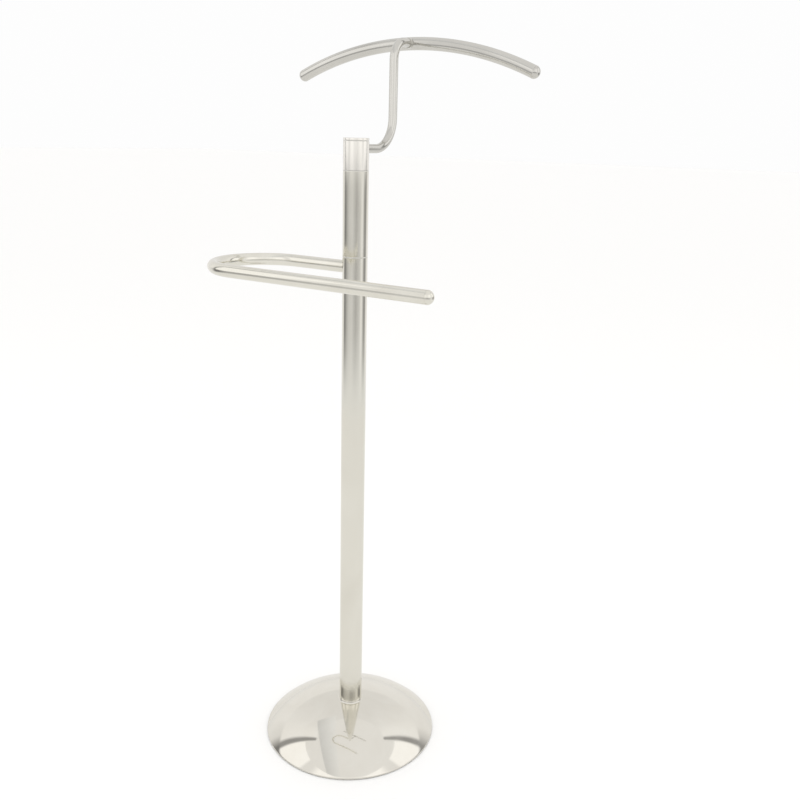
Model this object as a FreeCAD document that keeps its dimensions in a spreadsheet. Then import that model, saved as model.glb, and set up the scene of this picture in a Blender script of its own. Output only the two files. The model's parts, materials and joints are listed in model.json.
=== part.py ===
import FreeCAD, Part
import math
import os

import Sketcher
from FreeCAD import Placement, Rotation, Vector

# Valet stand: a weighted dome base, a three-piece column on one long tie rod, and two swivelling
# sleeves in the column that carry the trouser rail and the jacket hanger.
# Millimetres, +Z up. The origin is on the floor at the centre of the base. The rail runs along X
# in front of the column (-Y) and the hanger stands behind it (+Y).

DIMENSIONS = {
    # base
    "base_diameter": 304.0,
    "cover_thickness": 1.2,
    "cover_hem_bottom": 1.0,
    "cover_hem_top": 1.7,
    "rim_round": 2.6,
    "shoulder_radius": 185.0,
    "crown_radius": 265.0,
    "crown_edge": 83.0,
    "neck_round": 3.0,
    "neck_top": 60.6,
    "pad_diameter": 290.0,
    "pad_thickness": 3.0,
    "pad_lip": 0.8,
    "plate_diameter": 292.0,
    "plate_thickness": 1.6,
    "weight_diameter": 196.0,
    "weight_thickness": 13.0,
    "weight_round": 3.0,
    "nut_well_diameter": 24.0,
    "nut_well_depth": 8.6,
    "spacer_diameter": 22.0,
    "plate_screw_circle": 150.0,
    "plate_screw_diameter": 5.0,
    "plate_screw_head_diameter": 9.4,
    "plate_screw_length": 9.0,
    "plate_screw_tip": 0.5,
    "plate_screw_key": 3.0,
    "plate_screw_socket": 1.6,
    "plate_screw_clearance": 0.2,
    "plate_thread_depth": 10.0,
    # column
    "column_diameter": 40.0,
    "column_wall": 1.2,
    "edge_break": 0.5,
    "plug_clearance": 0.05,
    "plug_length": 26.0,
    "foot_plug_bottom": 48.0,
    "foot_plug_top": 88.0,
    "rail_seam_bottom": 815.4,
    "rail_seam_top": 864.0,
    "hanger_seam_bottom": 994.2,
    "hanger_seam_top": 1039.4,
    "column_top": 1043.0,
    "column_top_round": 0.8,
    "washer_thickness": 0.8,
    "washer_diameter": 39.3,
    "swivel_gap": 0.2,
    "axle_diameter": 16.0,
    "axle_clearance": 0.05,
    # tie rod and its nut
    "rod_diameter": 8.0,
    "rod_clearance": 0.3,
    "rod_bottom": 4.8,
    "rod_top": 1040.6,
    "rod_end_break": 1.0,
    "nut_height": 6.5,
    "nut_across_flats": 13.0,
    "nut_washer_diameter": 17.0,
    "nut_washer_thickness": 1.6,
    # trouser rail
    "rail_height": 846.0,
    "rail_diameter": 20.0,
    "rail_wall": 1.2,
    "rail_bend_radius": 79.0,
    "rail_back_leg": 118.0,
    "rail_tip": 234.6,
    "cap_length": 8.6,
    "cap_land": 0.8,
    "cap_edge_break": 0.2,
    "spigot_break": 1.0,
    "rail_spigot_length": 14.0,
    "bar_spigot_length": 8.0,
    # hanger
    "arm_height": 1027.0,
    "arm_diameter": 14.0,
    "arm_wall": 1.2,
    "arm_reach": 102.0,
    "arm_lower_bend": 48.0,
    "arm_upper_bend": 28.0,
    "arm_top": 1190.0,
    "collar_diameter": 17.0,
    "collar_length": 2.6,
    "saddle_depth": 3.0,
    "saddle_clearance": 0.1,
    "bar_distance": 154.0,
    "bar_arch_radius": 540.0,
    "bar_half_span": 218.0,
    # fixing screws and the plugs they pull on
    "head_seat": 14.5,
    "screw_clearance": 0.2,
    "screw_end_break": 0.6,
    "socket_floor_share": 0.4,
    "rail_screw_diameter": 6.0,
    "rail_screw_head_diameter": 10.0,
    "rail_screw_head_height": 4.0,
    "rail_screw_length": 21.0,
    "rail_screw_key": 5.0,
    "rail_plug_length": 18.0,
    "arm_screw_diameter": 5.0,
    "arm_screw_head_diameter": 8.5,
    "arm_screw_head_height": 3.4,
    "arm_screw_length": 17.0,
    "arm_screw_key": 4.0,
    "arm_plug_length": 13.0,
    "bar_screw_length": 32.0,
    "bar_washer_diameter": 12.0,
    "bar_washer_thickness": 1.5,
}

document = FreeCAD.newDocument("ValetStand")
sheet = document.addObject("Spreadsheet::Sheet", "Dimensions")
for row, (alias, number) in enumerate(DIMENSIONS.items(), start=1):
    sheet.set(f"A{row}", alias)
    sheet.set(f"B{row}", str(number))
    sheet.setAlias(f"B{row}", alias)
document.recompute()


class Size:
    """A length that carries its value and the sheet expression that gives it."""

    def __init__(self, value, text):
        self.value = float(value)
        self.text = text

    def __add__(self, other):
        other = as_size(other)
        return Size(self.value + other.value, f"({self.text} + {other.text})")

    def __sub__(self, other):
        other = as_size(other)
        return Size(self.value - other.value, f"({self.text} - {other.text})")

    def __mul__(self, other):
        other = as_size(other)
        return Size(self.value * other.value, f"({self.text} * {other.text})")

    def __truediv__(self, other):
        other = as_size(other)
        return Size(self.value / other.value, f"({self.text} / {other.text})")


def as_size(quantity):
    """A plain number becomes a Size, so that the two can be mixed."""
    if isinstance(quantity, Size):
        return quantity
    return Size(quantity, str(quantity))


def cell(alias):
    """The named cell of the sheet."""
    return Size(sheet.get(alias), f"Dimensions.{alias}")


def root(size):
    """The square root of a size."""
    return Size(math.sqrt(size.value), f"sqrt({size.text})")


class Arc:
    """The round stretch of an outline between the corners before and after it."""

    def __init__(self, across, along, radius):
        self.centre = (as_size(across), as_size(along))
        self.radius = as_size(radius)


# ---------------------------------------------------------------- sketches and features

def new_body(label):
    """An empty body whose label is also its file's name."""
    body = document.addObject("PartDesign::Body", label)
    body.Label = label
    return body


def sketch_on(body, role, name, lift=0.0):
    """A sketch on one of the body's own origin planes, lifted along that plane's normal."""
    plane = [item for item in body.Origin.OriginFeatures if item.Role == role][0]
    lift = as_size(lift)
    sketch = body.newObject("Sketcher::SketchObject", name)
    sketch.AttachmentSupport = [(plane, "")]
    sketch.MapMode = "FlatFace"
    sketch.AttachmentOffset = Placement(Vector(0, 0, lift.value), Rotation())
    sketch.setExpression("AttachmentOffset.Base.z", lift.text)
    return sketch


def constrain(sketch, size, *description):
    """A dimension of the sketch, bound to the sheet."""
    index = sketch.addConstraint(Sketcher.Constraint(*description, size.value))
    sketch.setExpression(f"Constraints[{index}]", size.text)


def pin_point(sketch, geometry, position, across, along):
    """Fix a point of the sketch by its distances from the sketch's origin."""
    for kind, axis, size in (("DistanceX", -2, across), ("DistanceY", -1, along)):
        if abs(size.value) < ON_AXIS:
            sketch.addConstraint(Sketcher.Constraint("PointOnObject", geometry, position, axis))
        else:
            constrain(sketch, size, kind, -1, 1, geometry, position)


def point_of(corner):
    """The sketch point of a corner."""
    return Vector(corner[0].value, corner[1].value, 0)


def draw_stretch(sketch, start, end, arc):
    """Draw one line or arc and return its index and the positions of its start and end."""
    if arc is None:
        return sketch.addGeometry(Part.LineSegment(point_of(start), point_of(end))), 1, 2
    centre = point_of(arc.centre)
    from_centre = point_of(start) - centre
    to_centre = point_of(end) - centre
    first = math.atan2(from_centre.y, from_centre.x)
    last = math.atan2(to_centre.y, to_centre.x)
    circle = Part.Circle(centre, Vector(0, 0, 1), arc.radius.value)
    if from_centre.cross(to_centre).z > 0:
        index = sketch.addGeometry(Part.ArcOfCircle(circle, first, last))
        ends = (1, 2)
    else:
        index = sketch.addGeometry(Part.ArcOfCircle(circle, last, first))
        ends = (2, 1)
    if abs(centre.x) < ON_AXIS:
        sketch.addConstraint(Sketcher.Constraint("PointOnObject", index, 3, -2))
    else:
        constrain(sketch, arc.radius, "Radius", index)
    return index, ends[0], ends[1]


def draw_outline(sketch, outline, closed=True):
    """Draw corners joined by lines, or by the arcs that stand between them in the list."""
    corners = []
    arcs = []
    for item in outline:
        if isinstance(item, Arc):
            arcs[-1] = item
        else:
            corners.append((as_size(item[0]), as_size(item[1])))
            arcs.append(None)
    count = len(corners) if closed else len(corners) - 1
    stretches = []
    for place in range(count):
        end = corners[(place + 1) % len(corners)]
        stretches.append(draw_stretch(sketch, corners[place], end, arcs[place]))
    for place in range(count):
        index, first, _ = stretches[place]
        pin_point(sketch, index, first, *corners[place])
        if place > 0:
            before, _, end_before = stretches[place - 1]
            sketch.addConstraint(Sketcher.Constraint("Coincident", before, end_before, index, first))
    index, _, last = stretches[-1]
    if closed:
        sketch.addConstraint(Sketcher.Constraint("Coincident", index, last, stretches[0][0],
                                                 stretches[0][1]))
    else:
        pin_point(sketch, index, last, *corners[-1])


def draw_circle(sketch, radius, across=0.0, along=0.0):
    """Draw a full circle."""
    radius = as_size(radius)
    across = as_size(across)
    along = as_size(along)
    circle = Part.Circle(Vector(across.value, along.value, 0), Vector(0, 0, 1), radius.value)
    index = sketch.addGeometry(circle)
    constrain(sketch, radius, "Radius", index)
    pin_point(sketch, index, 3, across, along)


def place(body, across=0.0, back=0.0, up=0.0, rotation=None):
    """Put a body in the assembly."""
    offsets = [as_size(offset) for offset in (across, back, up)]
    base = Vector(*[offset.value for offset in offsets])
    body.Placement = Placement(base, rotation or Rotation())
    for axis, offset in zip("xyz", offsets):
        body.setExpression(f"Placement.Base.{axis}", offset.text)
    return body


def turned(label, outline):
    """A piece turned about the vertical axis from its (radius, height) outline."""
    body = new_body(label)
    sketch = sketch_on(body, "XZ_Plane", f"{label}_outline")
    draw_outline(sketch, outline)
    turning = body.newObject("PartDesign::Revolution", f"{label}_turning")
    turning.Profile = sketch
    turning.ReferenceAxis = (sketch, ["V_Axis"])
    turning.Angle = 360
    body.Tip = turning
    return body


def turned_ring(label, outer, inner, bottom, top, edge_break=None):
    """A ring or tube, with its outer edges broken if a chamfer is given."""
    if edge_break is None:
        return turned(label, [(inner, bottom), (outer, bottom), (outer, top), (inner, top)])
    return turned(label, [
        (inner, bottom), (outer - edge_break, bottom), (outer, bottom + edge_break),
        (outer, top - edge_break), (outer - edge_break, top), (inner, top)])


def cut_cylinder(body, name, radius, length, start, direction):
    """Bore a straight round hole from a start point along a direction."""
    hole = body.newObject("PartDesign::SubtractiveCylinder", f"{body.Label}_{name}")
    radius = as_size(radius)
    length = as_size(length)
    hole.Radius = radius.value
    hole.Height = length.value
    hole.setExpression("Radius", radius.text)
    hole.setExpression("Height", length.text)
    offsets = [as_size(offset) for offset in start]
    base = Vector(*[offset.value for offset in offsets])
    hole.Placement = Placement(base, Rotation(Vector(0, 0, 1), direction))
    for axis, offset in zip("xyz", offsets):
        hole.setExpression(f"Placement.Base.{axis}", offset.text)
    body.Tip = hole
    return hole


def bent_tube(label, path_role, path, path_lift, profile_role, profile_centre, profile_lift, radii):
    """A tube swept along a path of straight runs and tangent arcs."""
    body = new_body(label)
    route = sketch_on(body, path_role, f"{label}_route", path_lift)
    draw_outline(route, path, closed=False)
    section = sketch_on(body, profile_role, f"{label}_section", profile_lift)
    for radius in radii:
        draw_circle(section, radius, *profile_centre)
    runs = [item for item in path if not isinstance(item, Arc)]
    sweep = body.newObject("PartDesign::AdditivePipe", f"{label}_sweep")
    sweep.Profile = section
    sweep.Spine = (route, [f"Edge{number}" for number in range(1, len(runs))])
    body.Tip = sweep
    return body


def add_prism(body, kind, name, across_flats, height, bottom):
    """Add or cut a hexagon, measured across its flats."""
    prism = body.newObject(f"PartDesign::{kind}Prism", f"{body.Label}_{name}")
    circumradius = as_size(across_flats) / root(as_size(3))
    height = as_size(height)
    bottom = as_size(bottom)
    prism.Polygon = 6
    prism.Circumradius = circumradius.value
    prism.Height = height.value
    prism.Placement = Placement(Vector(0, 0, bottom.value), Rotation())
    prism.setExpression("Circumradius", circumradius.text)
    prism.setExpression("Height", height.text)
    prism.setExpression("Placement.Base.z", bottom.text)
    body.Tip = prism


def socket_screw(label, screw, length):
    """A socket-head screw of the named size: the head stands on z = 0, the shank goes down."""
    shank = cell(f"{screw}_diameter") / 2
    head = cell(f"{screw}_head_diameter") / 2
    head_top = cell(f"{screw}_head_height")
    end = length * -1
    end_break = cell("screw_end_break")
    body = turned(label, [
        (0, end), (shank - end_break, end), (shank, end + end_break), (shank, 0), (head, 0),
        (head, head_top - edge_break), (head - edge_break, head_top), (0, head_top)])
    socket_bottom = head_top * cell("socket_floor_share")
    add_prism(body, "Subtractive", "socket", cell(f"{screw}_key"), head_top - socket_bottom,
              socket_bottom)
    return body


ON_AXIS = 1e-9
UP = Vector(0, 0, 1)
LEFT = Vector(-1, 0, 0)
RIGHT = Vector(1, 0, 0)
BACK = Vector(0, 1, 0)
TO_LEFT = Rotation(UP, LEFT)
TO_RIGHT = Rotation(UP, RIGHT)
TO_BACK = Rotation(UP, BACK)

# sizes that several pieces share
column_radius = cell("column_diameter") / 2
column_bore = column_radius - cell("column_wall")
edge_break = cell("edge_break")
plug_radius = column_bore - cell("plug_clearance")
rod_radius = cell("rod_diameter") / 2
rod_hole = rod_radius + cell("rod_clearance")
axle_radius = cell("axle_diameter") / 2
core_bore = axle_radius + cell("axle_clearance")
rail_radius = cell("rail_diameter") / 2
rail_bore = rail_radius - cell("rail_wall")
arm_radius = cell("arm_diameter") / 2
arm_bore = arm_radius - cell("arm_wall")
pad_top = cell("pad_thickness")
plate_top = pad_top + cell("plate_thickness")
weight_top = plate_top + cell("weight_thickness")
washer_step = cell("washer_thickness") + cell("swivel_gap")

# ---------------------------------------------------------------- base

def make_base_cover():
    """The spun dome: hem, rounded rim, tight shoulder, flatter crown, and a short neck on top."""
    rim = cell("base_diameter") / 2
    wall = cell("cover_thickness")
    hem_round = wall / 2
    hem_low = cell("cover_hem_bottom") + hem_round
    hem_top = cell("cover_hem_top")
    rim_round = cell("rim_round")
    shoulder = cell("shoulder_radius")
    crown = cell("crown_radius")
    neck_round = cell("neck_round")
    neck_top = cell("neck_top")

    # centres of the arcs; each arc meets the next without a corner
    crown_sine = cell("crown_edge") / crown
    crown_cosine = root(as_size(1) - crown_sine * crown_sine)
    shoulder_across = cell("crown_edge") - shoulder * crown_sine
    rim_across = rim - rim_round
    rim_reach = shoulder - rim_round
    rim_spread = rim_across - shoulder_across
    rim_drop = root(rim_reach * rim_reach - rim_spread * rim_spread)
    shoulder_along = hem_top - rim_drop
    crown_along = shoulder_along + (shoulder - crown) * crown_cosine
    neck_across = column_radius + neck_round
    neck_reach = crown + neck_round
    neck_rise = root(neck_reach * neck_reach - neck_across * neck_across)
    neck_along = crown_along + neck_rise

    def on_rim(radius):
        share = radius / rim_reach
        return (shoulder_across + rim_spread * share, shoulder_along + rim_drop * share)

    def on_crown(radius):
        return (radius * crown_sine, crown_along + radius * crown_cosine)

    def on_neck(radius):
        share = radius / neck_reach
        return (neck_across * share, crown_along + neck_rise * share)

    return turned("base_cover", [
        (rim - hem_round, cell("cover_hem_bottom")), Arc(rim - hem_round, hem_low, hem_round),
        (rim, hem_low), (rim, hem_top), Arc(rim_across, hem_top, rim_round),
        on_rim(shoulder), Arc(shoulder_across, shoulder_along, shoulder),
        on_crown(crown), Arc(0, crown_along, crown),
        on_neck(crown), Arc(neck_across, neck_along, neck_round),
        (column_radius, neck_along), (column_radius, neck_top - edge_break),
        (column_radius - edge_break, neck_top), (column_bore, neck_top),
        (column_bore, neck_along), Arc(neck_across, neck_along, neck_round + wall),
        on_neck(crown - wall), Arc(0, crown_along, crown - wall),
        on_crown(crown - wall), Arc(shoulder_across, shoulder_along, shoulder - wall),
        on_rim(shoulder - wall), Arc(rim_across, hem_top, rim_round - wall),
        (rim - wall, hem_top), (rim - wall, hem_low),
        Arc(rim - hem_round, hem_low, hem_round)])


def make_base_pad():
    """The full rubber sheet under the base, which closes the nut's well."""
    radius = cell("pad_diameter") / 2
    lip = cell("pad_lip")
    return turned("base_pad", [
        (0, 0), (radius - lip, 0), (radius, lip), (radius, pad_top), (0, pad_top)])


def plate_screw_places():
    """Where the three screws that hold the plate to the weight stand, on their circle."""
    radius = cell("plate_screw_circle") / 2
    depth = radius * root(as_size(3)) / 2
    return [(as_size(0), radius), (depth * -1, radius / -2), (depth, radius / -2)]


def make_base_plate():
    """The bottom plate, with a hole for the nut and three countersunk holes."""
    body = turned_ring("base_plate", cell("plate_diameter") / 2, cell("nut_well_diameter") / 2,
                       pad_top, plate_top)
    head = cell("plate_screw_head_diameter") / 2 + cell("plate_screw_clearance")
    shank = cell("plate_screw_diameter") / 2 + cell("plate_screw_clearance")
    for number, (across, back) in enumerate(plate_screw_places()):
        sink = body.newObject("PartDesign::SubtractiveCone", f"base_plate_sink_{number}")
        sink.Placement = Placement(Vector(across.value, back.value, pad_top.value), Rotation())
        sizes = {"Radius1": head, "Radius2": shank, "Height": cell("plate_thickness"),
                 "Placement.Base.x": across, "Placement.Base.y": back, "Placement.Base.z": pad_top}
        for field, size in sizes.items():
            sink.setExpression(field, size.text)
        body.Tip = sink
    return body


def make_base_weight():
    """The cast disc that keeps the stand upright."""
    radius = cell("weight_diameter") / 2
    corner = cell("weight_round")
    well = cell("nut_well_diameter") / 2
    well_top = plate_top + cell("nut_well_depth")
    body = turned("base_weight", [
        (well, plate_top), (radius - corner, plate_top),
        Arc(radius - corner, plate_top + corner, corner), (radius, plate_top + corner),
        (radius, weight_top - corner), Arc(radius - corner, weight_top - corner, corner),
        (radius - corner, weight_top), (rod_hole, weight_top), (rod_hole, well_top),
        (well, well_top)])
    for number, (across, back) in enumerate(plate_screw_places()):
        cut_cylinder(body, f"thread_{number}", cell("plate_screw_diameter") / 2,
                     cell("plate_thread_depth"), (across, back, plate_top), UP)
    return body


def make_plate_screws():
    """Three countersunk screws, alike, from the plate up into the weight."""
    screws = []
    head = cell("plate_screw_head_diameter") / 2
    shank = cell("plate_screw_diameter") / 2
    tip = cell("plate_screw_tip")
    end = plate_top + cell("plate_screw_length")
    for number, (across, back) in enumerate(plate_screw_places()):
        screw = turned(f"plate_screw_{number}", [
            (0, pad_top), (head, pad_top), (shank, plate_top), (shank, end - tip),
            (shank - tip, end), (0, end)])
        add_prism(screw, "Subtractive", "socket", cell("plate_screw_key"),
                  cell("plate_screw_socket"), pad_top)
        screws.append(place(screw, across, back))
    group = document.addObject("Part::Compound", "base_plate_screws")
    group.Label = "base_plate_screws"
    group.Links = screws
    return group


def make_base():
    """Every fixed piece from the floor up to the column's foot."""
    spacer_radius = cell("spacer_diameter") / 2
    well_top = plate_top + cell("nut_well_depth")
    washer_bottom = well_top - cell("nut_washer_thickness")
    nut_bottom = washer_bottom - cell("nut_height")
    nut = new_body("tie_rod_nut")
    add_prism(nut, "Additive", "blank", cell("nut_across_flats"), cell("nut_height"), 0)
    cut_cylinder(nut, "thread", rod_radius, cell("nut_height"), (0, 0, 0), UP)
    return [
        make_base_cover(),
        make_base_pad(),
        make_base_plate(),
        make_base_weight(),
        make_plate_screws(),
        turned_ring("centre_spacer", spacer_radius, rod_hole, weight_top, cell("foot_plug_bottom")),
        turned_ring("tie_rod_washer", cell("nut_washer_diameter") / 2, rod_hole, washer_bottom,
                    well_top),
        place(nut, up=nut_bottom),
    ]


# ---------------------------------------------------------------- column

def make_column():
    """The fixed pieces of the column and the tie rod that draws them together."""
    seam_low = cell("rail_seam_bottom")
    seam_high = cell("rail_seam_top")
    hanger_low = cell("hanger_seam_bottom")
    hanger_high = cell("hanger_seam_top")
    washer = cell("washer_thickness")
    plug = cell("plug_length")
    thread_top = cell("rod_top")
    rod_end = cell("rod_end_break")
    pieces = [
        turned("tie_rod", [
            (0, cell("rod_bottom")), (rod_radius - rod_end, cell("rod_bottom")),
            (rod_radius, cell("rod_bottom") + rod_end), (rod_radius, thread_top - rod_end),
            (rod_radius - rod_end, thread_top), (0, thread_top)]),
        turned_ring("foot_plug", plug_radius, rod_hole, cell("foot_plug_bottom"),
                    cell("foot_plug_top")),
        turned_ring("lower_tube", column_radius, column_bore, cell("neck_top"), seam_low,
                    edge_break),
        turned_ring("lower_tube_plug", plug_radius, rod_hole, seam_low - plug, seam_low),
        turned_ring("rail_axle", axle_radius, rod_hole, seam_low, seam_high),
        turned_ring("middle_tube", column_radius, column_bore, seam_high, hanger_low, edge_break),
        turned_ring("middle_tube_lower_plug", plug_radius, rod_hole, seam_high, seam_high + plug),
        turned_ring("middle_tube_upper_plug", plug_radius, rod_hole, hanger_low - plug, hanger_low),
        turned_ring("hanger_axle", axle_radius, rod_hole, hanger_low, hanger_high),
    ]
    washer_radius = cell("washer_diameter") / 2
    for label, bottom in (("rail_lower_washer", seam_low), ("rail_upper_washer", seam_high - washer),
                          ("hanger_lower_washer", hanger_low),
                          ("hanger_upper_washer", hanger_high - washer)):
        pieces.append(turned_ring(label, washer_radius, axle_radius, bottom, bottom + washer))
    top_round = cell("column_top_round")
    top = cell("column_top")
    pieces.append(turned("top_cap", [
        (rod_radius, hanger_high), (column_radius - edge_break, hanger_high),
        (column_radius, hanger_high + edge_break), (column_radius, top - top_round),
        Arc(column_radius - top_round, top - top_round, top_round),
        (column_radius - top_round, top), (0, top), (0, thread_top), (rod_radius, thread_top)]))
    return pieces


def make_sleeve(name, height, direction, screw):
    """A swivelling sleeve and its core, both bored sideways for the screw that holds an arm."""
    low = cell(f"{name}_seam_bottom") + washer_step
    high = cell(f"{name}_seam_top") - washer_step
    hole_radius = cell(f"{screw}_diameter") / 2 + cell("screw_clearance")
    head_radius = cell(f"{screw}_head_diameter") / 2 + cell("screw_clearance")
    sleeve = turned_ring(f"{name}_sleeve", column_radius, column_bore, low, high, edge_break)
    core = turned_ring(f"{name}_core", plug_radius, core_bore, low, high)
    for piece in (sleeve, core):
        cut_cylinder(piece, "screw_hole", hole_radius, column_radius + 1, (0, 0, height), direction)
    cut_cylinder(core, "head_recess", head_radius, cell("head_seat"), (0, 0, height), direction)
    return [sleeve, core]


# ---------------------------------------------------------------- trouser rail

def end_cap(label, spigot_length, clearance):
    """A domed cap whose seam is at z = 0 and whose spigot goes down into its tube."""
    land = cell("cap_land")
    tip = cell("cap_length")
    rise = tip - land
    dome = (rail_radius * rail_radius + rise * rise) / (rise * 2)
    spigot = rail_bore - clearance
    taper = cell("spigot_break")
    cap_break = cell("cap_edge_break")
    depth = spigot_length * -1
    return turned(label, [
        (0, depth), (spigot - taper, depth), (spigot, depth + taper), (spigot, 0),
        (rail_radius - cap_break, 0), (rail_radius, cap_break), (rail_radius, land),
        Arc(0, tip - dome, dome), (0, tip)])


def make_rail():
    """The hairpin rail: a back leg from the column, a half-turn, and a long front leg."""
    height = cell("rail_height")
    bend = cell("rail_bend_radius")
    corner = cell("rail_back_leg") * -1
    front = bend * -2
    seam = cell("rail_tip") - cell("cap_length")
    start = column_radius / -2
    rail = bent_tube(
        "trouser_rail", "XY_Plane",
        [(start, 0), (corner, 0), Arc(corner, bend * -1, bend), (corner - bend, bend * -1),
         Arc(corner, bend * -1, bend), (corner, front), (seam, front)],
        height, "YZ_Plane", (0, height), start, (rail_radius, rail_bore))
    cut_cylinder(rail, "saddle", column_radius, rail_radius * 4, (0, 0, height - rail_radius * 2), UP)
    plug_end = column_radius + cell("rail_plug_length")
    plug = turned_ring("rail_plug", rail_bore - cell("plug_clearance"),
                       cell("rail_screw_diameter") / 2, column_radius, plug_end)
    screw = socket_screw("rail_screw", "rail_screw", cell("rail_screw_length"))
    cap = end_cap("rail_end_cap", cell("rail_spigot_length"), cell("plug_clearance"))
    return make_sleeve("rail", height, LEFT, "rail_screw") + [
        rail,
        place(plug, 0, 0, height, TO_LEFT),
        place(screw, cell("head_seat") * -1, 0, height, TO_RIGHT),
        place(cap, seam, front, height, TO_RIGHT),
    ]


# ---------------------------------------------------------------- hanger

def make_arm():
    """The arm that rises behind the column and turns back to the shoulder bar."""
    height = cell("arm_height")
    reach = cell("arm_reach")
    low_bend = cell("arm_lower_bend")
    high_bend = cell("arm_upper_bend")
    top = cell("arm_top")
    bar_distance = cell("bar_distance")
    start = column_radius / 2
    arm = bent_tube(
        "hanger_arm", "YZ_Plane",
        [(start, height), (reach - low_bend, height),
         Arc(reach - low_bend, height + low_bend, low_bend), (reach, height + low_bend),
         (reach, top - high_bend), Arc(reach + high_bend, top - high_bend, high_bend),
         (reach + high_bend, top), (bar_distance - rail_radius / 2, top)],
        0, "XZ_Plane", (0, height), start * -1, (arm_radius, arm_bore))
    cut_cylinder(arm, "column_saddle", column_radius, arm_radius * 4,
                 (0, 0, height - arm_radius * 2), UP)
    cut_cylinder(arm, "bar_saddle", rail_radius, arm_radius * 4,
                 (arm_radius * -2, bar_distance, top), RIGHT)
    return arm


def saddle_ring(label, outer, inner, bottom, top, saddle_radius, saddle_start, saddle_direction):
    """A ring about its own axis, with one end hollowed to sit on a round tube."""
    ring = turned_ring(label, outer, inner, bottom, top)
    cut_cylinder(ring, "saddle", saddle_radius, outer * 4, saddle_start, saddle_direction)
    return ring


def make_arm_fittings():
    """The collars, plugs and screws at the two ends of the arm."""
    height = cell("arm_height")
    top = cell("arm_top")
    bar_front = cell("bar_distance") - rail_radius
    bar_back = cell("bar_distance") + rail_radius
    collar = cell("collar_diameter") / 2
    collar_length = cell("collar_length")
    sink = cell("saddle_depth")
    bar_saddle = rail_radius + cell("saddle_clearance")
    thread = cell("arm_screw_diameter") / 2
    plug = arm_bore - cell("plug_clearance")
    plug_length = cell("arm_plug_length")
    washer = cell("bar_washer_diameter") / 2
    washer_top = bar_back + cell("bar_washer_thickness")
    lower_collar = saddle_ring(
        "arm_lower_collar", collar, arm_radius, column_radius - sink,
        column_radius + collar_length, column_radius, (0, collar * -2, 0), BACK)
    upper_collar = saddle_ring(
        "arm_upper_collar", collar, arm_radius, bar_front - collar_length, bar_front + sink,
        bar_saddle, (collar * -2, 0, cell("bar_distance")), RIGHT)
    bar_washer = saddle_ring(
        "shoulder_bar_washer", washer, thread + cell("screw_clearance"), bar_back - sink, washer_top,
        bar_saddle, (washer * -2, 0, cell("bar_distance")), RIGHT)
    lower_plug = turned_ring("arm_lower_plug", plug, thread, column_radius,
                             column_radius + plug_length)
    upper_plug = turned_ring("arm_upper_plug", plug, thread, bar_front - plug_length, bar_front)
    lower_screw = socket_screw("arm_lower_screw", "arm_screw", cell("arm_screw_length"))
    bar_screw = socket_screw("shoulder_bar_screw", "arm_screw", cell("bar_screw_length"))
    return [
        place(lower_collar, 0, 0, height, TO_BACK),
        place(lower_plug, 0, 0, height, TO_BACK),
        place(lower_screw, 0, cell("head_seat"), height, Rotation(UP, BACK * -1)),
        place(upper_collar, 0, 0, top, TO_BACK),
        place(upper_plug, 0, 0, top, TO_BACK),
        place(bar_washer, 0, 0, top, TO_BACK),
        place(bar_screw, 0, washer_top, top, TO_BACK),
    ]


def make_shoulder_bar():
    """The arched bar that a jacket hangs on, with a hole through it for its screw."""
    top = cell("arm_top")
    distance = cell("bar_distance")
    arch = cell("bar_arch_radius")
    half_span = cell("bar_half_span")
    centre_height = top - arch
    body = new_body("shoulder_bar")
    section = sketch_on(body, "YZ_Plane", "shoulder_bar_section")
    for radius in (rail_radius, rail_bore):
        draw_circle(section, radius, distance, top)
    axis = section.addGeometry(Part.LineSegment(
        Vector(0, centre_height.value, 0), Vector(distance.value, centre_height.value, 0)), True)
    pin_point(section, axis, 1, as_size(0), centre_height)
    pin_point(section, axis, 2, distance, centre_height)
    sweep = body.newObject("PartDesign::Revolution", "shoulder_bar_sweep")
    sweep.Profile = section
    sweep.ReferenceAxis = (section, ["Axis0"])
    sweep.Midplane = True
    sweep.setExpression("Angle", f"2 * asin({half_span.text} / {arch.text})")
    body.Tip = sweep
    cut_cylinder(body, "screw_hole", cell("arm_screw_diameter") / 2 + cell("screw_clearance"),
                 rail_radius * 4, (0, distance - rail_radius * 2, top), BACK)
    return body


def make_shoulder_caps():
    """The domed caps in the two ends of the shoulder bar."""
    arch = cell("bar_arch_radius")
    half_span = cell("bar_half_span")
    level = root(arch * arch - half_span * half_span)
    clearance = cell("plug_clearance") * 3
    caps = []
    for side, name in ((-1, "left_shoulder_cap"), (1, "right_shoulder_cap")):
        cap = end_cap(name, cell("bar_spigot_length"), clearance)
        outward = Vector(side * level.value, 0, half_span.value * -1)
        caps.append(place(cap, half_span * side, cell("bar_distance"),
                          cell("arm_top") - arch + level, Rotation(UP, outward)))
    return caps


def make_hanger():
    """Every piece that swivels with the jacket hanger."""
    sleeve = make_sleeve("hanger", cell("arm_height"), BACK, "arm_screw")
    return sleeve + [make_arm(), make_shoulder_bar()] + make_arm_fittings() + make_shoulder_caps()


# ---------------------------------------------------------------- check and write

nodes = make_base() + make_column() + make_rail() + make_hanger()
document.recompute()

for item in document.Objects:
    if "Invalid" in item.State or "Error" in item.State:
        raise RuntimeError(f"{item.Label} failed: {item.State}")

os.makedirs("parts", exist_ok=True)
for node in nodes:
    shape = node.Shape
    if shape.isNull() or not shape.isValid() or not shape.Solids:
        raise RuntimeError(f"{node.Label} has no valid solid")
    shape.exportStep(f"parts/{node.Label}.step")
    print(f"{node.Label:26s} solids {len(shape.Solids)}  volume {shape.Volume / 1000:9.2f} cm3")
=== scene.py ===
import json
import math

import bpy
from mathutils import Matrix, Vector


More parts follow.
